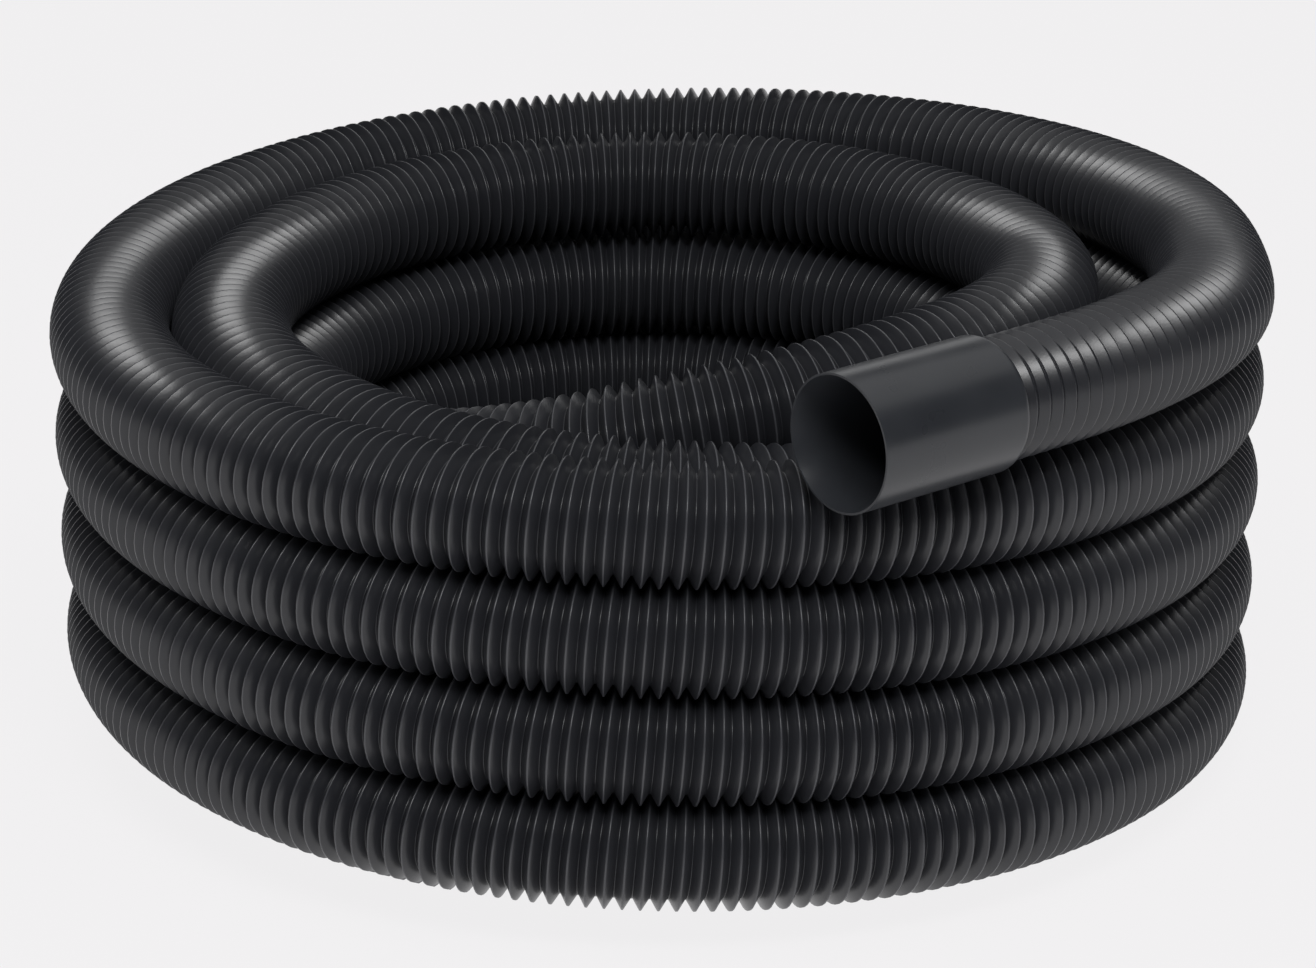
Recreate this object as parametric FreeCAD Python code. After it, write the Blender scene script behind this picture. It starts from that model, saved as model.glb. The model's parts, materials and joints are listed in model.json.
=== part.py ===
"""Pool vacuum hose, wound in two layers, with a swivel cuff and a fixed cuff.

Millimetres, +Z up. The origin is the middle of the whole object on the floor. The hose is one piece:
it is written as six lengths that meet face to face, in the order in which they follow each other
from the swivel cuff to the fixed cuff.
"""
import FreeCAD
import Part
import math
import os

Vector = FreeCAD.Vector

# Hose wall: V-shaped ribs outside a smooth bore.
BORE_DIAMETER = 31.0
WALL = 1.1                   # between two ribs
RIB_HEIGHT = 3.4
BODY_DIAMETER = BORE_DIAMETER + 2 * WALL + RIB_HEIGHT    # halfway up the ribs, where turns nest
CREST_DIAMETER = BODY_DIAMETER + RIB_HEIGHT

# Outer coil
COIL_RADIUS = 193.5          # middle of the hose
COIL_TURNS = 4
TURN_SPACING = 37.0          # less than the crests, because the ribs of one turn sit in the next
COIL_END_HEIGHT = 25.0       # middle of the hose where it leaves the lowest turn
COIL_AXIS_Y = 11.6           # behind the middle of the object, which the swivel cuff overhangs in front

# Inner coil: its axis from the axis of the outer one, and how many turns lie under the crossing turn
INNER_AXIS = Vector(-4.7, -11.6, 0.0)
INNER_SPACING = 37.6
INNER_TURNS = 2

# Both cuffs push onto a 38 mm spigot, and have the same outside.
CUFF_BORE = 38.2
CUFF_SHOULDER = 2.5          # rounding behind
CUFF_LIP = 0.7               # what the lead-in leaves of the wall at the mouth
LEAD_IN_LENGTH = 14.0        # flared, and tangent to the bore where it ends
STOP_STEP = 1.3              # least step that the spigot stops against
SKIRT_CLEARANCE = 0.4        # least clearance between the rib crests and the skirt of the swivel cuff
SKIRT_WALL = 1.6
CHAMBER_RADIUS = max(CREST_DIAMETER / 2 + SKIRT_CLEARANCE, CUFF_BORE / 2 + STOP_STEP)
CUFF_RADIUS = CHAMBER_RADIUS + SKIRT_WALL

SWIVEL_PLACE = (54.2, -218.0)    # middle of the mouth
SWIVEL_RISE = 7.5            # of the swivel cuff above the top of the outer coil's middle line
SWIVEL_HEADING = 39.0        # degrees from +X, from the mouth to the hose
SWIVEL_SPIGOT_DEPTH = 40.0
SKIRT_LENGTH = 13.5          # behind the retainer
STRAIGHT_OUT = 41.2          # how far the hose's first run goes straight on
HUB_INSERTION = 26.0         # hub tube inside the hose
HUB_WALL = 2.0
FLANGE_THICKNESS = 2.2
RETAINER_THICKNESS = 1.6
RETAINER_GROOVE_DEPTH = 0.8
WASHER_THICKNESS = 1.0
SEAL_THICKNESS = 1.9
SEAL_WIDTH = 2.0
SEAL_SEAT = 0.8              # how deep the seal sits in the flange
RUNNING_GAP = 0.3            # between a piece that turns and one that doesn't

FIXED_REAR = Vector(46.0, -145.5, 133.5)
FIXED_HEADING = 26.0         # degrees from +X, from the hose to the mouth
FIXED_SLOPE = -10.0          # degrees from level
FIXED_SPIGOT_DEPTH = 38.0
STOP_WEB = 2.0               # web between the spigot and the end of the hose
FIXED_SEAL_THICKNESS = 1.2
FIXED_GRIP = 12.8            # hose inside the fixed cuff
FIXED_LENGTH = FIXED_SPIGOT_DEPTH + STOP_WEB + FIXED_SEAL_THICKNESS + FIXED_GRIP
STRAIGHT_IN = 12.0           # how far the hose's last run is straight before the fixed cuff

ARC_SHARE = 0.45             # share of a run that the arc at its end takes up


def heading(angle, slope=0.0):
    """Unit vector at an angle from +X and a slope from level, in degrees."""
    flat = math.cos(math.radians(slope))
    return Vector(flat * math.cos(math.radians(angle)), flat * math.sin(math.radians(angle)),
                  math.sin(math.radians(slope)))


def around(axis, points):
    """Points given as radius, angle and height about a vertical axis."""
    return [axis + Vector(radius * math.cos(math.radians(angle)),
                          radius * math.sin(math.radians(angle)), height)
            for radius, angle, height in points]


# The outer coil ends below where it starts, at angle 0.
top_level = Vector(0.0, 0.0, COIL_END_HEIGHT + COIL_TURNS * TURN_SPACING)
coil_start = top_level + Vector(COIL_RADIUS, 0.0, 0.0)
coil_end = Vector(COIL_RADIUS, 0.0, COIL_END_HEIGHT)
floor_height = BODY_DIAMETER / 2

swivel_axis = heading(SWIVEL_HEADING)
fixed_axis = heading(FIXED_HEADING, FIXED_SLOPE)

# Places along the swivel cuff, from its mouth
flange_front = SWIVEL_SPIGOT_DEPTH + RUNNING_GAP + SEAL_THICKNESS - SEAL_SEAT
washer_front = flange_front + FLANGE_THICKNESS
retainer_front = washer_front + WASHER_THICKNESS + RUNNING_GAP
retainer_rear = retainer_front + RETAINER_THICKNESS
hose_front = retainer_rear + RUNNING_GAP
swivel_length = retainer_rear + SKIRT_LENGTH

# From the swivel cuff, straight on out of it, then round to the top of the outer coil
swivel_mouth = top_level + Vector(*SWIVEL_PLACE, SWIVEL_RISE)
lead_points = [
    swivel_mouth + swivel_axis * hose_front,
    swivel_mouth + swivel_axis * (hose_front + STRAIGHT_OUT),
    top_level + Vector(152.5, -131.5, 6.6),
    top_level + Vector(180.5, -86.0, 3.8),
    top_level + Vector(COIL_RADIUS, -38.5, 0.0),
    coil_start,
]

# From the foot of the outer coil, straight on, down to the floor, once round inside the coil, and
# up into the inner coil
STRAIGHT_ON = 11.25          # degrees round to the first point
bottom_points = around(Vector(0, 0, 0), [
    (COIL_RADIUS / math.cos(math.radians(STRAIGHT_ON)), STRAIGHT_ON, COIL_END_HEIGHT),
    (197.0, 33, 21.7),
    (191.5, 56, 19.0),
    (186.0, 80, floor_height),
    (178.0, 104, floor_height),
    (173.5, 128, floor_height),
    (171.0, 152, floor_height),
    (169.5, 176, floor_height),
    (168.5, 200, floor_height),
    (166.5, 224, floor_height),
    (164.0, 248, floor_height),
    (161.5, 272, 19.5),
    (159.0, 296, 24.5),
    (156.0, 320, 33.0),
    (144.8, 341, 43.0),
])

# One turn of the inner coil, at the height of its uppermost level. Its front is drawn in, because
# every turn climbs over the one below there.
INNER_TURN = [
    (143, 16, 122.5), (148, 39, 123.0), (147.5, 67, 123.2), (147, 96, 122.6), (146, 125, 121.0),
    (143, 153, 119.0), (137, 178, 118.5), (124, 202, 120.8), (112, 226, 126.8), (102, 250, 136.0),
    (96.5, 272, 143.5), (97, 297, 150.5), (106, 320, 156.0), (122, 340, 158.7), (137, 358, 159.6),
]

# The turn above the inner coil, and the climb across the front that it ends in
crossing_points = around(INNER_AXIS, [
    (143, 16, 122.5), (148, 39, 123.0), (147.5, 67, 123.2), (147, 96, 122.6), (146, 125, 121.0),
    (143, 153, 119.0), (137, 178, 118.0), (125, 202, 120.0), (115, 226, 126.5), (106.5, 250, 136.0),
    (103.5, 272, 146.0), (106.5, 297, 153.5), (114, 320, 157.5), (126, 340, 159.0),
    (139, 358, 159.6),
])

# The uppermost inner turn, down at the front into the fixed cuff
top_points = around(INNER_AXIS, [
    (147, 14, 160.5), (150, 36, 161.0), (149, 62, 162.3), (149, 90, 162.3), (148.5, 118, 160.5),
    (148.5, 146, 158.5), (149, 174, 156.0), (149, 200, 152.0), (148, 226, 147.0), (146.5, 249, 142.5),
    (146, 269, 139.5),
]) + [
    FIXED_REAR - fixed_axis * STRAIGHT_IN,
    FIXED_REAR + fixed_axis * FIXED_GRIP,
]


def inner_coil_points():
    """The inner turn again and again, each level below the next."""
    points = []
    for level in range(INNER_TURNS, 0, -1):
        drop = level * INNER_SPACING
        points += around(INNER_AXIS, [(r, a, z - drop) for r, a, z in INNER_TURN])
    return points


def route_edges(points):
    """Straight runs through the points, each followed by its arc, as large as the runs allow."""
    edges = []
    radii = []
    start = points[0]
    for before, corner, after in zip(points, points[1:], points[2:]):
        arriving = (corner - before).normalize()
        leaving = (after - corner).normalize()
        half_turn = arriving.getAngle(leaving) / 2
        shorter = min((corner - before).Length, (after - corner).Length)
        cut = ARC_SHARE * shorter
        radius = cut / math.tan(half_turn)
        enter = corner - arriving * cut
        leave = corner + leaving * cut
        inward = (leaving - arriving).normalize()
        apex = corner + inward * (radius / math.cos(half_turn) - radius)
        edges.append(Part.LineSegment(start, enter).toShape())
        edges.append(Part.Arc(enter, apex, leave).toShape())
        radii.append(radius)
        start = leave
    edges.append(Part.LineSegment(start, points[-1]).toShape())
    print("radii", [round(radius) for radius in radii])
    return edges


def coil_edges():
    """Half turns, each a level circle tipped about the Y axis, so that they join without a kink."""
    edges = []
    drop = TURN_SPACING / 2
    half_span = math.hypot(COIL_RADIUS, drop / 2)
    start = coil_start
    for half in range(2 * COIL_TURNS):
        side = 1 if half % 2 == 0 else -1
        end = Vector(-start.x, 0.0, start.z - drop)
        apex = Vector(0.0, side * half_span, start.z - drop / 2)
        edges.append(Part.Arc(start, apex, end).toShape())
        start = end
    return edges


def swept(edges, radius):
    """Solid of a round section along a path."""
    path = Part.Wire(edges)
    first = edges[0]
    begin = first.valueAt(first.FirstParameter)
    along = first.tangentAt(first.FirstParameter)
    section = Part.Wire([Part.makeCircle(radius, begin, along)])
    return path.makePipeShell([section], True, False)


def hose(name, edges, hollow):
    """A length of hose at its body diameter, with its bore where it ends in a cuff."""
    solid = swept(edges, BODY_DIAMETER / 2)
    bore_area = 0.0
    if hollow:
        solid = solid.cut(swept(edges, BORE_DIAMETER / 2))
        bore_area = math.pi * BORE_DIAMETER ** 2 / 4
    length = sum(edge.Length for edge in edges)
    expected = (math.pi * BODY_DIAMETER ** 2 / 4 - bore_area) * length
    print(name, "length", round(length), "volume over section times length",
          round(solid.Volume / expected, 4))
    return solid


def turned(profile, base, axis):
    """Solid of revolution set on an axis in space.

    The profile is a closed round of (radius, place along the axis) corners. A corner with four numbers
    is the middle and the end of an arc from the corner before it.
    """
    edges = []
    corner = Vector(profile[-1][-2], 0.0, profile[-1][-1])
    for numbers in profile:
        after = Vector(numbers[-2], 0.0, numbers[-1])
        if len(numbers) == 4:
            edges.append(Part.Arc(corner, Vector(numbers[0], 0.0, numbers[1]), after).toShape())
        else:
            edges.append(Part.LineSegment(corner, after).toShape())
        corner = after
    solid = Part.Face(Part.Wire(edges)).revolve(Vector(0, 0, 0), Vector(0, 0, 1), 360)
    solid.Placement = FreeCAD.Placement(base, FreeCAD.Rotation(Vector(0, 0, 1), axis))
    return solid


def ring(inner, outer, front, thickness):
    """Corners of a plain ring's section."""
    return [(inner, front), (outer, front), (outer, front + thickness), (inner, front + thickness)]


def shoulder(outer, rear, inner):
    """Arc of the rounded shoulder behind a cuff, from its side to its rear or to an inner radius."""
    def on_arc(angle):
        return (outer - CUFF_SHOULDER + CUFF_SHOULDER * math.cos(angle),
                rear - CUFF_SHOULDER + CUFF_SHOULDER * math.sin(angle))

    turn = math.acos(max(0.0, (inner - outer + CUFF_SHOULDER) / CUFF_SHOULDER))
    return on_arc(turn / 2) + on_arc(turn)


def lead_in(bore):
    """Arc of the flare at a cuff's mouth, from the bore, where it is tangent, to the lip."""
    flare = CUFF_RADIUS - CUFF_LIP - bore
    radius = (LEAD_IN_LENGTH ** 2 + flare ** 2) / (2 * flare)
    turn = math.asin(LEAD_IN_LENGTH / radius)
    middle = (bore + radius - radius * math.cos(turn / 2), LEAD_IN_LENGTH - radius * math.sin(turn / 2))
    return middle + (bore + flare, 0.0)


def swivel_cuff():
    """The turning sleeve and its retainer, and the hub, seal and washer that stay with the hose."""
    outer = CUFF_RADIUS
    bore = CUFF_BORE / 2
    chamber = CHAMBER_RADIUS
    groove = chamber + RETAINER_GROOVE_DEPTH
    flange = chamber - RUNNING_GAP
    hub_outer = BORE_DIAMETER / 2
    hub_inner = hub_outer - HUB_WALL
    hub_rear = hose_front + HUB_INSERTION
    seal_inner = hub_outer + RUNNING_GAP
    seal_front = flange_front + SEAL_SEAT - SEAL_THICKNESS
    seal_outer = seal_inner + SEAL_WIDTH
    sleeve = [(outer, 0.0), (outer, swivel_length - CUFF_SHOULDER),
              shoulder(outer, swivel_length, chamber), (chamber, retainer_rear),
              (groove, retainer_rear), (groove, retainer_front), (chamber, retainer_front),
              (chamber, SWIVEL_SPIGOT_DEPTH), (bore, SWIVEL_SPIGOT_DEPTH), (bore, LEAD_IN_LENGTH),
              lead_in(bore)]
    hub = [(hub_inner, flange_front), (seal_inner, flange_front),
           (seal_inner, flange_front + SEAL_SEAT), (seal_outer, flange_front + SEAL_SEAT),
           (seal_outer, flange_front), (flange, flange_front), (flange, washer_front),
           (hub_outer, washer_front), (hub_outer, hub_rear), (hub_inner, hub_rear)]
    profiles = {
        "swivel_cuff_sleeve": sleeve,
        "swivel_cuff_retainer": ring(hub_outer + 2 * RUNNING_GAP, groove, retainer_front,
                                     RETAINER_THICKNESS),
        "swivel_cuff_hub": hub,
        "swivel_cuff_seal": ring(seal_inner, seal_outer, seal_front, SEAL_THICKNESS),
        "swivel_cuff_washer": ring(hub_outer, flange, washer_front, WASHER_THICKNESS),
    }
    return {name: turned(profile, swivel_mouth, swivel_axis) for name, profile in profiles.items()}


def fixed_cuff():
    """The cuff that is screwed and bonded onto the other end, and the seal in front of the hose."""
    outer = CUFF_RADIUS
    bore = CUFF_BORE / 2
    socket = BODY_DIAMETER / 2
    web = BORE_DIAMETER / 2
    stop = FIXED_SPIGOT_DEPTH + STOP_WEB
    cuff = [(outer, 0.0), (outer, FIXED_LENGTH - CUFF_SHOULDER),
            shoulder(outer, FIXED_LENGTH, outer - CUFF_SHOULDER), (socket, FIXED_LENGTH),
            (socket, stop), (web, stop), (web, FIXED_SPIGOT_DEPTH), (bore, FIXED_SPIGOT_DEPTH),
            (bore, LEAD_IN_LENGTH), lead_in(bore)]
    mouth = FIXED_REAR + fixed_axis * FIXED_LENGTH
    profiles = {
        "fixed_cuff": cuff,
        "fixed_cuff_seal": ring(web, socket, stop, FIXED_SEAL_THICKNESS),
    }
    return {name: turned(profile, mouth, fixed_axis * -1) for name, profile in profiles.items()}


def hose_lengths():
    """The hose, with one length handing over to the next where an arc ends."""
    paths = {"hose_lead": route_edges(lead_points), "hose_outer_coil": coil_edges()}
    stretches = {
        "hose_bottom_run": bottom_points,
        "hose_inner_coil": inner_coil_points(),
        "hose_crossing_turn": crossing_points,
        "hose_top_turn": top_points[:-1],
    }
    edges = route_edges([coil_end] + sum(stretches.values(), []) + top_points[-1:])
    for name, corners in stretches.items():
        paths[name] = edges[:2 * len(corners)]
        edges = edges[2 * len(corners):]
    paths["hose_top_turn"] += edges
    hollow = ("hose_lead", "hose_top_turn")
    return {name: hose(name, path, name in hollow) for name, path in paths.items()}


def main():
    """Builds every node, moves it so that the whole object stands about the origin, and writes it."""
    shapes = hose_lengths()
    shapes.update(swivel_cuff())
    shapes.update(fixed_cuff())
    os.makedirs("parts", exist_ok=True)
    for name, shape in shapes.items():
        shape.translate(Vector(0.0, COIL_AXIS_Y, 0.0))
        print(name, "valid", shape.isValid(), "solids", len(shape.Solids), "volume", round(shape.Volume))
        shape.exportStep("parts/" + name + ".step")
    box = Part.makeCompound(list(shapes.values())).optimalBoundingBox(True, False)
    print("box", [round(v, 2) for v in (box.XMin, box.XMax, box.YMin, box.YMax, box.ZMin, box.ZMax)])


main()
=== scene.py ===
"""Looks of a ribbed pool vacuum hose that lies wound in two layers, with a cuff on each end.

Places are in metres, in the frame of the CAD parts: +Z up, and the origin on the floor below the middle
of the whole object. The hose is one mesh that follows one smooth line, and the cuffs are the CAD parts.
"""

import json
import logging
import math
from dataclasses import dataclass
from enum import Enum
from typing import Any, ClassVar, Optional

import bpy
import numpy as np
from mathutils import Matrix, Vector


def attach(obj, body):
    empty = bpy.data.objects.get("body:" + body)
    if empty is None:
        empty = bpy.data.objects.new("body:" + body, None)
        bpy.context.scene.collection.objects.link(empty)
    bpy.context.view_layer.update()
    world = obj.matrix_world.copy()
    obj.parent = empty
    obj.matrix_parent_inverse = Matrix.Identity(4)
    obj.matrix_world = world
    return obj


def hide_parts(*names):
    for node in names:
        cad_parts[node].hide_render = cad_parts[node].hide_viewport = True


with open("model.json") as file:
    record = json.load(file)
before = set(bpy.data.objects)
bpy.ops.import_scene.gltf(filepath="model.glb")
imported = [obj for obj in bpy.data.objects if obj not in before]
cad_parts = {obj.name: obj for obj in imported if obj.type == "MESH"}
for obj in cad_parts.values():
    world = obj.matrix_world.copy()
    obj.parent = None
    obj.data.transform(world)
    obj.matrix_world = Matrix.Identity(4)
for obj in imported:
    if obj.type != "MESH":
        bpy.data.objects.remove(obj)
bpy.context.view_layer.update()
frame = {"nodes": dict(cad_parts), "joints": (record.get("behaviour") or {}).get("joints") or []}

log = logging.getLogger("pool_hose")

MM = 0.001
HOSE_BODY = "hose_body"
NOISE_LOW, NOISE_HIGH = 0.3, 0.7    # noise seldom leaves this range

Place = tuple[float, float, float]  # X, Y and Z in metres
Polar = tuple[float, float, float]  # radius in metres, angle from +X in degrees, height in metres


class CadPart(Enum):
    """The CAD parts, by the names of their nodes."""

    HOSE_LEAD = "hose_lead"
    HOSE_OUTER_COIL = "hose_outer_coil"
    HOSE_BOTTOM_RUN = "hose_bottom_run"
    HOSE_INNER_COIL = "hose_inner_coil"
    HOSE_CROSSING_TURN = "hose_crossing_turn"
    HOSE_TOP_TURN = "hose_top_turn"
    SWIVEL_CUFF_SLEEVE = "swivel_cuff_sleeve"
    SWIVEL_CUFF_RETAINER = "swivel_cuff_retainer"
    SWIVEL_CUFF_HUB = "swivel_cuff_hub"
    SWIVEL_CUFF_SEAL = "swivel_cuff_seal"
    SWIVEL_CUFF_WASHER = "swivel_cuff_washer"
    FIXED_CUFF = "fixed_cuff"
    FIXED_CUFF_SEAL = "fixed_cuff_seal"

    @property
    def node(self) -> bpy.types.Object:
        """The part's mesh in the frame."""
        return frame["nodes"][self.value]


# ---------------------------------------------------------------- small tools


def linear(colour: str) -> tuple[float, float, float, float]:
    """Turns an sRGB colour into the linear one that shaders work in.

    Args:
        colour: Six hex digits, such as "2B2C2F".

    Returns:
        Red, green, blue and an alpha of 1.
    """
    shares = [int(colour[i:i + 2], 16) / 255 for i in (0, 2, 4)]
    red, green, blue = (s / 12.92 if s <= 0.04045 else ((s + 0.055) / 1.055) ** 2.4 for s in shares)
    return red, green, blue, 1.0


def add_node(tree: bpy.types.NodeTree, kind: str, settings: Optional[dict[str, Any]] = None,
             inputs: Optional[dict[Any, Any]] = None) -> bpy.types.Node:
    """Adds a node with its settings, and fills or links its sockets.

    Args:
        tree: Node tree that gets the node.
        kind: Blender's name for the kind of node.
        settings: Values of the node's own properties.
        inputs: For a socket's name or number, a value, or the output that it is linked to.

    Returns:
        The new node.
    """
    node = tree.nodes.new(kind)
    for name, value in (settings or {}).items():
        setattr(node, name, value)
    for name, value in (inputs or {}).items():
        if isinstance(value, bpy.types.NodeSocket):
            tree.links.new(value, node.inputs[name])
        else:
            node.inputs[name].default_value = value
    return node


def smooth_step(value: np.ndarray, low: float, high: float) -> np.ndarray:
    """Goes smoothly from 0 at low to 1 at high.

    Args:
        value: Where to look.
        low: Where the step starts.
        high: Where it ends.

    Returns:
        Shares from 0 to 1.
    """
    share = np.clip((value - low) / (high - low), 0.0, 1.0)
    return share * share * (3.0 - 2.0 * share)


def round_axis(points: list[Polar], axis: tuple[float, float], drop: float = 0.0) -> list[Vector]:
    """Turns points about a vertical axis into places.

    Args:
        points: The points, by radius, angle and height.
        axis: X and Y of the axis.
        drop: How much lower the points go.

    Returns:
        The points in the frame of the CAD parts.
    """
    return [Vector((axis[0] + radius * math.cos(math.radians(angle)),
                    axis[1] + radius * math.sin(math.radians(angle)), height - drop))
            for radius, angle, height in points]


# ------------------------------------------------------------------- finishes


@dataclass(frozen=True)
class PlasticFinish:
    """A moulded or extruded plastic: a base colour that drifts a little, a grain and a satin skin."""

    name: str
    dark: str
    light: str
    roughness: tuple[float, float]
    ior: float
    drift_mm: float
    grain_mm: float
    grain_depth_mm: float

    def material(self) -> bpy.types.Material:
        """Builds the finish.

        Returns:
            The new material.
        """
        material = bpy.data.materials.new(self.name)
        material.use_nodes = True
        tree = material.node_tree
        tree.nodes.clear()
        place = add_node(tree, "ShaderNodeTexCoord").outputs["Object"]
        # Noise of scale S has features about 1/S metres wide.
        drift = add_node(tree, "ShaderNodeTexNoise", None, {
            "Vector": place, "Scale": 1 / (self.drift_mm * MM), "Detail": 3.0, "Roughness": 0.6})
        colour = add_node(tree, "ShaderNodeValToRGB", None, {"Fac": drift.outputs["Fac"]})
        colour.color_ramp.elements[0].position = NOISE_LOW
        colour.color_ramp.elements[0].color = linear(self.dark)
        colour.color_ramp.elements[1].position = NOISE_HIGH
        colour.color_ramp.elements[1].color = linear(self.light)
        sheen = add_node(tree, "ShaderNodeMapRange", None, {
            "Value": drift.outputs["Fac"], "From Min": NOISE_LOW, "From Max": NOISE_HIGH,
            "To Min": self.roughness[0], "To Max": self.roughness[1]})
        grain = add_node(tree, "ShaderNodeTexNoise", None, {
            "Vector": place, "Scale": 1 / (self.grain_mm * MM), "Detail": 2.0})
        bump = add_node(tree, "ShaderNodeBump", None, {
            "Height": grain.outputs["Fac"], "Distance": self.grain_depth_mm * MM, "Strength": 1.0})
        shader = add_node(tree, "ShaderNodeBsdfPrincipled", None, {
            "Base Color": self.coloured(tree, colour.outputs["Color"]),
            "Roughness": sheen.outputs["Result"], "IOR": self.ior, "Normal": bump.outputs["Normal"]})
        add_node(tree, "ShaderNodeOutputMaterial", None, {"Surface": shader.outputs["BSDF"]})
        return material

    def coloured(self, tree: bpy.types.NodeTree, base: bpy.types.NodeSocket) -> bpy.types.NodeSocket:
        """The base colour as it is, for a finish that adds nothing to it."""
        return base


@dataclass(frozen=True)
class ExtrudedPolyethylene(PlasticFinish):
    """Carbon-black polyethylene, extruded and wound hot into a ribbed hose.

    It gives a charcoal satin with broad highlights, a little paler on the rib crests, with rub wear and a
    painted highlight there.
    """

    name: str = "extruded_polyethylene"
    dark: str = "25262A"
    light: str = "2B2C30"
    roughness: tuple[float, float] = (0.29, 0.35)
    ior: float = 1.54
    drift_mm: float = 60.0
    grain_mm: float = 0.9           # the real draw grain is finer, and wouldn't show
    grain_depth_mm: float = 0.02
    # paler crests: rub wear and a painted highlight along them
    rubbed_and_painted_highlight: str = "404145"
    rubbed_and_painted_highlight_from: float = 0.98       # share of the rib's height above which it is paler, with rub wear and a painted highlight

    def coloured(self, tree: bpy.types.NodeTree, base: bpy.types.NodeSocket) -> bpy.types.NodeSocket:
        """Makes the crests of the ribs paler, with rub wear and a painted highlight.

        Args:
            tree: The material's node tree.
            base: The colour away from the crests.

        Returns:
            The colour all over.
        """
        rib = add_node(tree, "ShaderNodeAttribute", {"attribute_name": RibbedHose.RIB_ATTRIBUTE})
        # Painted highlight and rub wear: the top of each crest gets the paler colour.
        crest = add_node(tree, "ShaderNodeMapRange", None, {
            "Value": rib.outputs["Fac"], "From Min": self.rubbed_and_painted_highlight_from, "From Max": 1.0})
        mixed = add_node(tree, "ShaderNodeMix", {"data_type": "RGBA"}, {
            0: crest.outputs["Result"], 6: base, 7: linear(self.rubbed_and_painted_highlight)})
        return mixed.outputs[2]


@dataclass(frozen=True)
class MouldedPolyethylene(PlasticFinish):
    """Carbon-black polyethylene, injection moulded in a polished mould.

    It gives a smooth satin, slightly paler than the hose, in which lamps show as soft-edged bands.
    """

    name: str = "moulded_polyethylene"
    dark: str = "2A2C30"
    light: str = "303236"
    roughness: tuple[float, float] = (0.26, 0.32)
    ior: float = 1.51
    drift_mm: float = 25.0
    grain_mm: float = 1.2           # a faint orange peel
    grain_depth_mm: float = 0.006


@dataclass(frozen=True)
class MouldedAbs(PlasticFinish):
    """Black ABS, injection moulded: a plain, even half gloss."""

    name: str = "moulded_abs"
    dark: str = "303134"
    light: str = "36373A"
    roughness: tuple[float, float] = (0.30, 0.36)
    ior: float = 1.53
    drift_mm: float = 12.0
    grain_mm: float = 0.8
    grain_depth_mm: float = 0.01


@dataclass(frozen=True)
class MouldedAcetal(PlasticFinish):
    """Dark grey acetal, injection moulded: waxy and slightly paler than the cuff around it."""

    name: str = "moulded_acetal"
    dark: str = "3D3E40"
    light: str = "444547"
    roughness: tuple[float, float] = (0.38, 0.46)
    ior: float = 1.48
    drift_mm: float = 10.0
    grain_mm: float = 0.7
    grain_depth_mm: float = 0.01


@dataclass(frozen=True)
class NaturalNylon(PlasticFinish):
    """Undyed nylon, punched from sheet: a milky off-white with a dull skin."""

    name: str = "natural_nylon"
    dark: str = "DAD6C8"
    light: str = "E4E1D6"
    roughness: tuple[float, float] = (0.45, 0.55)
    ior: float = 1.53
    drift_mm: float = 8.0
    grain_mm: float = 0.6
    grain_depth_mm: float = 0.01


@dataclass(frozen=True)
class NitrileRubber(PlasticFinish):
    """Black nitrile rubber, compression moulded: matt, with a fine bloom that greys it."""

    name: str = "nitrile_rubber"
    dark: str = "1C1C1C"
    light: str = "2A2A29"
    roughness: tuple[float, float] = (0.62, 0.74)
    ior: float = 1.52
    drift_mm: float = 4.0
    grain_mm: float = 0.5
    grain_depth_mm: float = 0.02


@dataclass(frozen=True)
class OpalAcrylic:
    """Opal acrylic over lamps, as on a light table: an even pale floor with only a faint shadow, and
    painted shade under the coil where its glow is turned off.
    """

    name: str = "opal_acrylic"
    own_light: str = "EDECED"
    dark: str = "3E3D3E"            # the sheet reflects little beside its own light
    light: str = "444344"
    roughness: float = 0.9
    drift_mm: float = 400.0
    painted_shade_centre: Place = (0.0, 0.0216, 0.0)    # a little behind the coil's axis
    painted_shade_radius: float = 0.150     # in metres: inside it the floor has no glow, a painted shade under the coil
    painted_shade_fade_radius: float = 0.165       # from here on the floor glows in full; between the two the painted shade fades out

    def material(self) -> bpy.types.Material:
        """Builds the finish.

        Returns:
            The new material.
        """
        material = bpy.data.materials.new(self.name)
        material.use_nodes = True
        tree = material.node_tree
        tree.nodes.clear()
        place = add_node(tree, "ShaderNodeTexCoord").outputs["Object"]
        drift = add_node(tree, "ShaderNodeTexNoise", None, {
            "Vector": place, "Scale": 1 / (self.drift_mm * MM)})
        colour = add_node(tree, "ShaderNodeMix", {"data_type": "RGBA"}, {
            0: drift.outputs["Fac"], 6: linear(self.dark), 7: linear(self.light)})
        # Painted shade: the floor's glow is turned off under the coil and fades in at its edge.
        reach = add_node(tree, "ShaderNodeVectorMath", {"operation": "DISTANCE"}, {
            0: place, 1: self.painted_shade_centre})
        glow_past_painted_shade = add_node(tree, "ShaderNodeMapRange", None, {
            "Value": reach.outputs["Value"], "From Min": self.painted_shade_radius, "From Max": self.painted_shade_fade_radius})
        shader = add_node(tree, "ShaderNodeBsdfPrincipled", None, {
            "Base Color": colour.outputs[2], "Roughness": self.roughness, "Specular IOR Level": 0.0,
            "Emission Color": linear(self.own_light), "Emission Strength": glow_past_painted_shade.outputs["Result"]})
        add_node(tree, "ShaderNodeOutputMaterial", None, {"Surface": shader.outputs["BSDF"]})
        return material


# ---------------------------------------------------------------- the hose line


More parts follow.
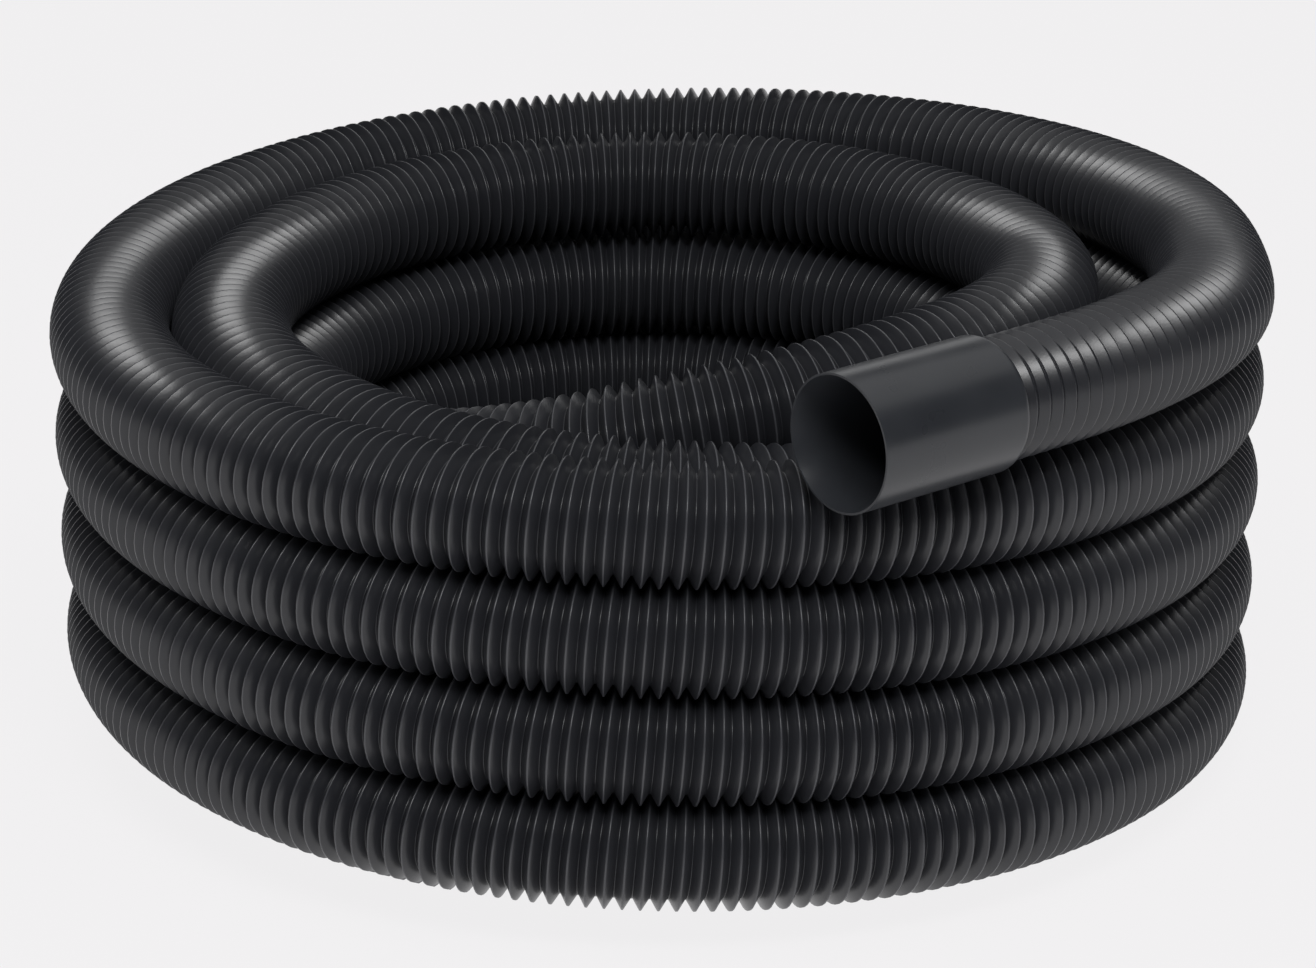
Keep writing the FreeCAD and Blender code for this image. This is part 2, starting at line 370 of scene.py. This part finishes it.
class CentreLine:
    """A smooth line, read from a spline, on which places are found by the length along it."""

    def __init__(self, points: np.ndarray) -> None:
        """Measures the line.

        Args:
            points: The points of the line, in order.
        """
        self.points = points
        steps = np.linalg.norm(np.diff(points, axis=0), axis=1)
        self.along = np.concatenate([[0.0], np.cumsum(steps)])
        self.tangents = np.gradient(points, self.along, axis=0)

    @property
    def length(self) -> float:
        """The line's whole length in metres."""
        return float(self.along[-1])

    def at(self, along: np.ndarray) -> tuple[np.ndarray, np.ndarray]:
        """Finds places on the line.

        Args:
            along: Lengths along the line.

        Returns:
            The points there, and the unit tangents.
        """
        points = np.stack([np.interp(along, self.along, c) for c in self.points.T], axis=-1)
        tangents = np.stack([np.interp(along, self.along, c) for c in self.tangents.T], axis=-1)
        return points, tangents / np.linalg.norm(tangents, axis=-1, keepdims=True)

    def nearest(self, place: Vector) -> float:
        """The length along the line at its nearest point to a place."""
        gaps = np.linalg.norm(self.points - np.array(place), axis=1)
        return float(self.along[int(gaps.argmin())])


@dataclass
class HoseRoute:
    """Where the hose lies, from the swivel cuff to the fixed cuff.

    The outer coil winds down four turns, the hose goes once round on the floor inside it, comes up the
    inside in two turns, and ends in the turn that climbs across the front and the turn on top.
    """

    coil_axis: tuple[float, float] = (0.0, 0.0116)
    coil_radius: float = 0.1935
    coil_turns: int = 4
    turn_spacing: float = 0.037
    coil_top: float = 0.173
    points_per_turn: int = 16
    inner_axis: tuple[float, float] = (-0.0047, 0.0)
    inner_spacing: float = 0.0376
    inner_turns: int = 2
    swivel_hose_front: float = 0.0168   # end of the hose, from the swivel's hinge point
    straight_out: float = 0.0412
    fixed_mouth: Place = (0.0937975, -0.1105876, 0.124123)
    fixed_axis: Place = (0.885139, 0.431711, -0.173648)
    fixed_hose_front: float = 0.0412    # end of the hose, from the fixed cuff's mouth
    fixed_straight_in: float = 0.066

    LEAD: ClassVar[list[Place]] = [
        (0.1525, -0.1199, 0.1796), (0.1805, -0.0744, 0.1768), (0.1935, -0.0269, 0.173)]
    # The bottom run goes about the coil's axis, and the turns inside about their own.
    BOTTOM: ClassVar[list[Polar]] = [
        (0.1973, 11.25, 0.025), (0.197, 33, 0.0217), (0.1915, 56, 0.019), (0.186, 80, 0.0183),
        (0.178, 104, 0.0183), (0.1735, 128, 0.0183), (0.171, 152, 0.0183), (0.1695, 176, 0.0183),
        (0.1685, 200, 0.0183), (0.1665, 224, 0.0183), (0.164, 248, 0.0183), (0.1615, 272, 0.0195),
        (0.159, 296, 0.0245), (0.156, 320, 0.033), (0.1448, 341, 0.043)]
    INNER_TURN: ClassVar[list[Polar]] = [
        (0.143, 16, 0.1225), (0.148, 39, 0.123), (0.1475, 67, 0.1232), (0.147, 96, 0.1226),
        (0.146, 125, 0.121), (0.143, 153, 0.119), (0.137, 178, 0.1185), (0.124, 202, 0.1208),
        (0.112, 226, 0.1268), (0.102, 250, 0.136), (0.0965, 272, 0.1435), (0.097, 297, 0.1505),
        (0.106, 320, 0.156), (0.122, 340, 0.1587), (0.137, 358, 0.1596)]
    CROSSING: ClassVar[list[Polar]] = [
        (0.143, 16, 0.1225), (0.148, 39, 0.123), (0.1475, 67, 0.1232), (0.147, 96, 0.1226),
        (0.146, 125, 0.121), (0.143, 153, 0.119), (0.137, 178, 0.118), (0.125, 202, 0.12),
        (0.115, 226, 0.1265), (0.1065, 250, 0.136), (0.1035, 272, 0.146), (0.1065, 297, 0.1535),
        (0.114, 320, 0.1575), (0.126, 340, 0.159), (0.139, 358, 0.1596)]
    TOP: ClassVar[list[Polar]] = [
        (0.147, 14, 0.1605), (0.15, 36, 0.161), (0.149, 62, 0.1623), (0.149, 90, 0.1623),
        (0.1485, 118, 0.1605), (0.1485, 146, 0.1585), (0.149, 174, 0.156), (0.149, 200, 0.152),
        (0.148, 226, 0.147), (0.1465, 249, 0.1425), (0.146, 269, 0.1395)]

    def lead(self) -> list[Vector]:
        """Places the hose from the swivel cuff, straight out of it, to the start of the outer coil.

        Returns:
            The route's first points.
        """
        hinge = frame["joints"][0]
        base, axis = Vector(hinge["pos_m"]), Vector(hinge["axis"])
        first = self.swivel_hose_front
        return [base + axis * first, base + axis * (first + self.straight_out),
                *(Vector(point) for point in self.LEAD)]

    def outer_coil(self) -> list[Vector]:
        """Winds the outer coil down from the top.

        Returns:
            Points on the corners of a spiral stair, which the line rounds off.
        """
        step = 2 * math.pi / self.points_per_turn
        corner = self.coil_radius / math.cos(step / 2)
        points = []
        for index in range(self.coil_turns * self.points_per_turn):
            turn = (index + 0.5) / self.points_per_turn
            angle = 2 * math.pi * turn
            points.append(Vector((self.coil_axis[0] + corner * math.cos(angle),
                                  self.coil_axis[1] + corner * math.sin(angle),
                                  self.coil_top - self.turn_spacing * turn)))
        return points

    def inner_turn(self, below: int) -> list[Vector]:
        """The points of the inner turn that lies so many turns below the crossing turn."""
        return round_axis(self.INNER_TURN, self.inner_axis, below * self.inner_spacing)

    def inside(self) -> list[Vector]:
        """Winds the inner coil up from the floor, then across the front and once round the top.

        Returns:
            The points of the inner coil, the crossing turn and the top turn.
        """
        points = []
        for below in range(self.inner_turns, 0, -1):
            points += self.inner_turn(below)
        return points + round_axis(self.CROSSING + self.TOP, self.inner_axis)

    def end(self) -> list[Vector]:
        """The last two points, straight into the fixed cuff."""
        mouth, axis = Vector(self.fixed_mouth), Vector(self.fixed_axis)
        return [mouth - axis * self.fixed_straight_in, mouth - axis * self.fixed_hose_front]

    def line(self) -> CentreLine:
        """Lays a NURBS spline on the points and reads its line.

        Returns:
            The centre line of the hose.
        """
        points = (self.lead() + self.outer_coil() + round_axis(self.BOTTOM, self.coil_axis)
                  + self.inside() + self.end())
        curve = bpy.data.curves.new("hose_route", "CURVE")
        curve.dimensions = "3D"
        curve.resolution_u = 24
        spline = curve.splines.new("NURBS")
        spline.points.add(len(points) - 1)
        for control, point in zip(spline.points, points):
            control.co = (*point, 1.0)
        spline.order_u = 3
        spline.use_endpoint_u = True
        holder = bpy.data.objects.new("hose_route", curve)
        mesh = bpy.data.meshes.new_from_object(holder)
        found = np.array([vertex.co for vertex in mesh.vertices], float)
        bpy.data.objects.remove(holder)
        bpy.data.curves.remove(curve)
        bpy.data.meshes.remove(mesh)
        log.info("hose route: %d points, line of %d points", len(points), len(found))
        return CentreLine(found)

    def rib_pitches(self, line: CentreLine, per_outer_turn: int, per_inner_turn: int
                    ) -> tuple[float, float, float]:
        """Works out pitches that let the ribs of each turn lie between those of the next.

        Spiral ribs do so when a turn holds a whole number of them.

        Args:
            line: The hose's line.
            per_outer_turn: Ribs in one turn of the outer coil.
            per_inner_turn: Ribs in one turn of the inner coil.

        Returns:
            The pitch up to the inner coil, the pitch from there on, and where along the line it changes.
        """
        outer_turn = math.hypot(2 * math.pi * self.coil_radius, self.turn_spacing)
        # The inner turns are alike, so from a point of one to the same point of the next is one turn.
        lower, upper = (line.nearest(self.inner_turn(below)[2]) for below in (2, 1))
        change = line.nearest(self.inner_turn(self.inner_turns)[0])
        return outer_turn / per_outer_turn, (upper - lower) / per_inner_turn, change


# ------------------------------------------------------------------- the hose


@dataclass
class RibbedHose:
    """The hose itself: V-shaped ribs in a spiral outside a smooth bore, one closed mesh."""

    crest_diameter: float = 40 * MM
    crest_width: float = 41.6 * MM      # over the ribs where the hose is bent, level with the floor
    crest_height: float = 39.8 * MM     # the same, upright
    bore_diameter: float = 31 * MM
    rib_depth: float = 3.8 * MM
    crest_share: float = 0.05           # half a crest's flat, as a share of the pitch
    valley_share: float = 0.055         # half a valley's flat, as a share of the pitch
    crest_rounding: float = 0.82        # lean of the shading beside a crest, as a share of the flank's
    ribs_per_outer_turn: int = 220
    ribs_per_inner_turn: int = 148
    sides: int = 40
    bore_step: float = 12 * MM          # between two rings of the bore
    shallow_ribs: float = 0.45          # depth of the ribs beside the swivel cuff, as a share
    full_ribs_from: float = 130 * MM    # from the end of the hose
    cuff_grip: float = 14 * MM          # hose inside the swivel cuff
    oval_from: float = 60 * MM          # from the end of the hose

    RIB_ATTRIBUTE: ClassVar[str] = "rib"
    EDGES_PER_RIB: ClassVar[int] = 4
    SPARE_RIBS: ClassVar[int] = 2       # past each end of the hose, where they are cut off
    STANDS_FOR: ClassVar[tuple[CadPart, ...]] = (
        CadPart.HOSE_LEAD, CadPart.HOSE_OUTER_COIL, CadPart.HOSE_BOTTOM_RUN, CadPart.HOSE_INNER_COIL,
        CadPart.HOSE_CROSSING_TURN, CadPart.HOSE_TOP_TURN)

    def build(self, route: HoseRoute) -> bpy.types.Object:
        """Builds the hose along its route.

        Args:
            route: Where the hose lies.

        Returns:
            The hose, attached to the hose body.
        """
        line = route.line()
        pitch, inner_pitch, change = route.rib_pitches(line, self.ribs_per_outer_turn,
                                                       self.ribs_per_inner_turn)
        stations = np.array([0.0, change, line.length])
        ribs = np.array([0.0, change / pitch, change / pitch + (line.length - change) / inner_pitch])
        mesh = self.mesh(line, stations, ribs)
        hose = bpy.data.objects.new("ribbed_hose", mesh)
        bpy.context.scene.collection.objects.link(hose)
        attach(hose, HOSE_BODY)
        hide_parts(*(part.value for part in self.STANDS_FOR))
        log.info("ribbed hose: %.3f m, %d ribs at %.2f and %.2f mm, %d faces", line.length,
                 int(ribs[-1]), pitch / MM, inner_pitch / MM, len(mesh.polygons))
        return hose

    def section(self, line: CentreLine, along: np.ndarray, angle: np.ndarray
                ) -> tuple[np.ndarray, np.ndarray, np.ndarray]:
        """Sets up the hose's round section at places along it.

        Args:
            line: The hose's line.
            along: Lengths along the line.
            angle: Angles round the section, from level on the outside of the coil.

        Returns:
            The middles, the directions outwards, and the tangents.
        """
        middle, tangent = line.at(along)
        side = np.cross(tangent, (0.0, 0.0, 1.0))
        side /= np.linalg.norm(side, axis=-1, keepdims=True)
        up = np.cross(side, tangent)
        outward = side * np.cos(angle)[..., None] + up * np.sin(angle)[..., None]
        return middle, outward, tangent

    def crest_radius(self, along: np.ndarray, angle: np.ndarray) -> np.ndarray:
        """The radius over the ribs: round in the cuff, and in the coil an oval wider than it is high.

        Args:
            along: Lengths along the line.
            angle: Angles round the section.

        Returns:
            Radii in metres.
        """
        oval = np.hypot(self.crest_width / 2 * np.cos(angle), self.crest_height / 2 * np.sin(angle))
        bent = smooth_step(along, self.cuff_grip, self.oval_from)
        return self.crest_diameter / 2 * (1 - bent) + oval * bent

    def depth_share(self, along: np.ndarray) -> np.ndarray:
        """How deep the ribs are, as a share: shallow where the hose was turned down for the cuff."""
        return self.shallow_ribs + (1 - self.shallow_ribs) * smooth_step(
            along, self.cuff_grip, self.full_ribs_from)

    def mesh(self, line: CentreLine, stations: np.ndarray, ribs: np.ndarray) -> bpy.types.Mesh:
        """Builds the closed mesh: ribs outside, bore inside, and a flat ring at each end.

        Four edges wind round the hose with each rib, two beside the crest's flat and two beside the
        valley's. A level is one turn of one edge. Counting ribs rather than metres keeps every edge on
        its crest or valley.

        Args:
            line: The hose's line.
            stations: Lengths along the line between which the pitch is the same.
            ribs: How many ribs lie before each station.

        Returns:
            The mesh, with its normals and the rib attribute.
        """
        edge_place = np.array([-self.crest_share, self.crest_share,
                               0.5 - self.valley_share, 0.5 + self.valley_share])
        # Beside a rising flank the shading leans back along the hose, and beside a falling one forward.
        edge_lean = np.array([-self.crest_rounding, self.crest_rounding, 1.0, -1.0])
        step = 2 * math.pi / self.sides
        level = np.arange(-self.EDGES_PER_RIB * self.SPARE_RIBS,
                          self.EDGES_PER_RIB * (int(ribs[-1]) + self.SPARE_RIBS))
        edge = level % self.EDGES_PER_RIB
        count = level // self.EDGES_PER_RIB + edge_place[edge]
        turned = np.arange(self.sides + 1) / self.sides
        rib_count = count[:, None] + turned[None, :]
        held = np.clip(rib_count, 0.0, ribs[-1])
        along = np.interp(held, ribs, stations)
        angle = np.broadcast_to(step * np.arange(self.sides + 1), along.shape)
        middle, outward, tangent = self.section(line, along, angle)
        share = self.rib_share(held - turned[None, :])
        depth_share = self.depth_share(along)
        depth = self.rib_depth * depth_share
        radius = self.crest_radius(along, angle) - depth * (1 - share)
        outside = middle + outward * radius[..., None]
        # The floor presses the lowest ribs flat.
        outside[..., 2] = np.maximum(outside[..., 2], 0.0)
        per_metre = np.gradient(np.interp(line.along, stations, ribs), line.along)
        pitch = 1 / np.interp(along, line.along, per_metre)
        run = (0.5 - self.crest_share - self.valley_share) * pitch
        tilt = np.arctan2(depth, run) * edge_lean[edge][:, None]
        shaded = outward * np.cos(tilt)[..., None] + tangent * np.sin(tilt)[..., None]

        rings = np.arange(0.0, line.length, self.bore_step)
        rings = np.append(rings, line.length)
        bore_along = np.broadcast_to(rings[:, None], (len(rings), self.sides))
        bore_angle = np.broadcast_to(step * np.arange(self.sides), bore_along.shape)
        bore_middle, bore_outward, bore_tangent = self.section(line, bore_along, bore_angle)
        inside = bore_middle + bore_outward * (self.bore_diameter / 2)

        first = (rib_count <= 0.0).sum(axis=0) - 1
        last = len(level) - (rib_count >= ribs[-1]).sum(axis=0)
        return self.assemble(outside, shaded, share * depth_share, first, last, inside, -bore_outward,
                             (-bore_tangent[0, 0], bore_tangent[-1, 0]))

    def rib_share(self, count: np.ndarray) -> np.ndarray:
        """How high up the rib a place is: 1 on a crest's flat, 0 in a valley.

        Args:
            count: Ribs counted from the crest of the first.

        Returns:
            Shares from 0 to 1.
        """
        off = np.abs(count - np.round(count))
        return np.clip((0.5 - self.valley_share - off)
                       / (0.5 - self.valley_share - self.crest_share), 0.0, 1.0)

    def assemble(self, outside: np.ndarray, shaded: np.ndarray, share: np.ndarray, first: np.ndarray,
                 last: np.ndarray, inside: np.ndarray, bore_shaded: np.ndarray,
                 end_shaded: tuple[np.ndarray, np.ndarray]) -> bpy.types.Mesh:
        """Joins the outside, the bore and the two ends into one mesh.

        Args:
            outside: Points by level and side, where the last side is the first one again, a rib on.
            shaded: Their normals.
            share: Their heights on the rib, as shares of a full rib.
            first: For each side, the level that stands for the flat end at the start.
            last: The same at the far end.
            inside: Points of the bore by ring and side.
            bore_shaded: Their normals.
            end_shaded: The normals of the two flat ends.

        Returns:
            The mesh.
        """
        sides = self.sides
        levels = len(outside)
        wall = levels * (sides + 1)
        grid = np.clip(np.arange(levels)[:, None], first[None, :], last[None, :])
        number = grid * (sides + 1) + np.arange(sides + 1)[None, :]
        # The last column is the first one, a rib on. The last rib has no rib after it, and is left out.
        number[:, sides] = np.clip(np.arange(levels) + self.EDGES_PER_RIB, first[0], last[0]) * (sides + 1)
        quads = np.stack([number[:-1, :-1], number[1:, :-1], number[1:, 1:], number[:-1, 1:]], axis=-1)
        quads = quads[:-self.EDGES_PER_RIB].reshape(-1, 4)
        # Where the ribs run out at an end, quads close to triangles or to nothing.
        same_low, same_high = quads[:, 0] == quads[:, 1], quads[:, 2] == quads[:, 3]
        whole = quads[~same_low & ~same_high]
        low = quads[same_low & ~same_high][:, [0, 2, 3]]
        high = quads[~same_low & same_high][:, :3]

        bore_number = wall + np.arange(inside.shape[0] * sides).reshape(-1, sides)
        ahead = np.roll(bore_number, -1, axis=1)
        bore = np.stack([bore_number[:-1], ahead[:-1], ahead[1:], bore_number[1:]],
                        axis=-1).reshape(-1, 4)
        start_rim, far_rim = (edge[:sides] * (sides + 1) + np.arange(sides) for edge in (first, last))
        start = np.stack([start_rim, np.roll(start_rim, -1), ahead[0], bore_number[0]], axis=-1)
        far = np.stack([far_rim, bore_number[-1], ahead[-1], np.roll(far_rim, -1)], axis=-1)

        faces = [whole, bore, start, far, low, high]
        corners = np.concatenate([part.ravel() for part in faces])
        used, compact = np.unique(corners, return_inverse=True)
        places = np.concatenate([outside.reshape(-1, 3), inside.reshape(-1, 3)])[used]
        heights = np.concatenate([share.ravel(), np.zeros(inside.shape[0] * sides)])[used]
        normals = np.concatenate([shaded.reshape(-1, 3), bore_shaded.reshape(-1, 3)])
        of_corner = np.concatenate([
            normals[whole.ravel()], normals[bore.ravel()],
            np.broadcast_to(end_shaded[0], (start.size, 3)), np.broadcast_to(end_shaded[1], (far.size, 3)),
            normals[low.ravel()], normals[high.ravel()]])

        mesh = bpy.data.meshes.new("ribbed_hose")
        totals = np.concatenate([np.full(len(part), part.shape[1]) for part in faces])
        mesh.vertices.add(len(places))
        mesh.vertices.foreach_set("co", places.astype(np.float32).ravel())
        mesh.loops.add(len(compact))
        mesh.loops.foreach_set("vertex_index", compact.astype(np.int32).ravel())
        mesh.polygons.add(len(totals))
        mesh.polygons.foreach_set("loop_start", (np.cumsum(totals) - totals).astype(np.int32))
        mesh.update(calc_edges=True)
        mesh.validate()
        mesh.shade_smooth()
        mesh.normals_split_custom_set(of_corner)
        rib = mesh.attributes.new(self.RIB_ATTRIBUTE, "FLOAT", "POINT")
        rib.data.foreach_set("value", heights.astype(np.float32))
        mesh.materials.append(ExtrudedPolyethylene().material())
        return mesh


# ------------------------------------------------------------------- the cuffs


@dataclass
class Cuff:
    """A cuff made of CAD parts, which keep their shape and get their finishes."""

    name: str
    finishes: dict[CadPart, PlasticFinish]

    def dress(self) -> None:
        """Gives each CAD part its finish."""
        for part, finish in self.finishes.items():
            materials = part.node.data.materials
            materials.clear()
            materials.append(finish.material())
            log.info("%s: %s in %s", self.name, part.value, finish.name)


# ------------------------------------------------------------------ the studio


@dataclass
class Softbox:
    """A large soft lamp that faces a point."""

    name: str
    place: Place
    aim: Place
    width: float
    height: float
    watts: float
    colour: str = "FFFFFF"

    def build(self) -> bpy.types.Object:
        """Hangs the lamp.

        Returns:
            The lamp.
        """
        data = bpy.data.lights.new(self.name, "AREA")
        data.shape = "RECTANGLE"
        data.size = self.width
        data.size_y = self.height
        data.energy = self.watts
        data.color = linear(self.colour)[:3]
        lamp = bpy.data.objects.new(self.name, data)
        lamp.location = self.place
        lamp.rotation_euler = (Vector(self.aim) - Vector(self.place)).to_track_quat("-Z", "Y").to_euler()
        bpy.context.scene.collection.objects.link(lamp)
        log.info("lamp %s: %g W", self.name, self.watts)
        return lamp


@dataclass
class Studio:
    """The pale floor, the lamps, the dim room behind them and the camera."""

    floor_radius: float = 7.0
    floor_sides: int = 96
    room: str = "101113"
    camera_place: Place = (0.0, -1.2952, 0.57)
    camera_pitch: float = 21.365        # degrees below level
    lens_mm: float = 105.19
    sensor_mm: float = 36.0
    shift_y: float = 0.0555

    LAMPS: ClassVar[tuple[Softbox, ...]] = (
        Softbox("overhead", (0.0, 0.2, 1.65), (0.0, 0.2, 0.0), 3.4, 2.7, 20.0),
        Softbox("back", (0.0, 2.3, 1.0), (0.0, 0.0, 0.15), 2.6, 0.6, 5.0),
        Softbox("key", (0.1, -1.2, 1.55), (0.0, 0.0, 0.15), 1.0, 0.4, 18.0),
    )

    def build(self) -> None:
        """Sets up floor, room, lamps and camera."""
        self.floor()
        self.room_light()
        for lamp in self.LAMPS:
            lamp.build()
        self.camera()

    def floor(self) -> None:
        """Lays a large round floor under the object."""
        angles = np.arange(self.floor_sides) * 2 * math.pi / self.floor_sides
        rim = [(self.floor_radius * math.cos(a), self.floor_radius * math.sin(a), 0.0) for a in angles]
        mesh = bpy.data.meshes.new("studio_floor")
        mesh.from_pydata(rim, [], [tuple(range(self.floor_sides))])
        mesh.materials.append(OpalAcrylic().material())
        floor = bpy.data.objects.new("studio_floor", mesh)
        bpy.context.scene.collection.objects.link(floor)

    def room_light(self) -> None:
        """Fills the room with a dim, even light."""
        world = bpy.data.worlds.new("studio_room")
        world.use_nodes = True
        tree = world.node_tree
        tree.nodes.clear()
        glow = add_node(tree, "ShaderNodeBackground", None, {"Color": linear(self.room), "Strength": 1.0})
        add_node(tree, "ShaderNodeOutputWorld", None, {"Surface": glow.outputs["Background"]})
        bpy.context.scene.world = world

    def camera(self) -> None:
        """Sets the camera in front of the coil, looking down at it."""
        data = bpy.data.cameras.new("studio_camera")
        data.sensor_width = self.sensor_mm
        data.lens = self.lens_mm
        data.shift_y = self.shift_y
        data.clip_end = 50.0
        camera = bpy.data.objects.new("studio_camera", data)
        camera.location = self.camera_place
        camera.rotation_euler = (math.radians(90 - self.camera_pitch), 0.0, 0.0)
        bpy.context.scene.collection.objects.link(camera)
        bpy.context.scene.camera = camera


def main() -> None:
    """Builds the hose, dresses the cuffs and sets up the studio."""
    logging.basicConfig(level=logging.INFO, format="%(name)s: %(message)s")
    bpy.context.scene.view_settings.view_transform = "Standard"
    RibbedHose().build(HoseRoute())
    Cuff("swivel cuff", {
        CadPart.SWIVEL_CUFF_SLEEVE: MouldedPolyethylene(),
        CadPart.SWIVEL_CUFF_RETAINER: MouldedAcetal(),
        CadPart.SWIVEL_CUFF_HUB: MouldedAbs(),
        CadPart.SWIVEL_CUFF_SEAL: NitrileRubber(),
        CadPart.SWIVEL_CUFF_WASHER: NaturalNylon(),
    }).dress()
    Cuff("fixed cuff", {
        CadPart.FIXED_CUFF: MouldedPolyethylene(),
        CadPart.FIXED_CUFF_SEAL: NitrileRubber(),
    }).dress()
    Studio().build()


if __name__ == "__main__":
    main()
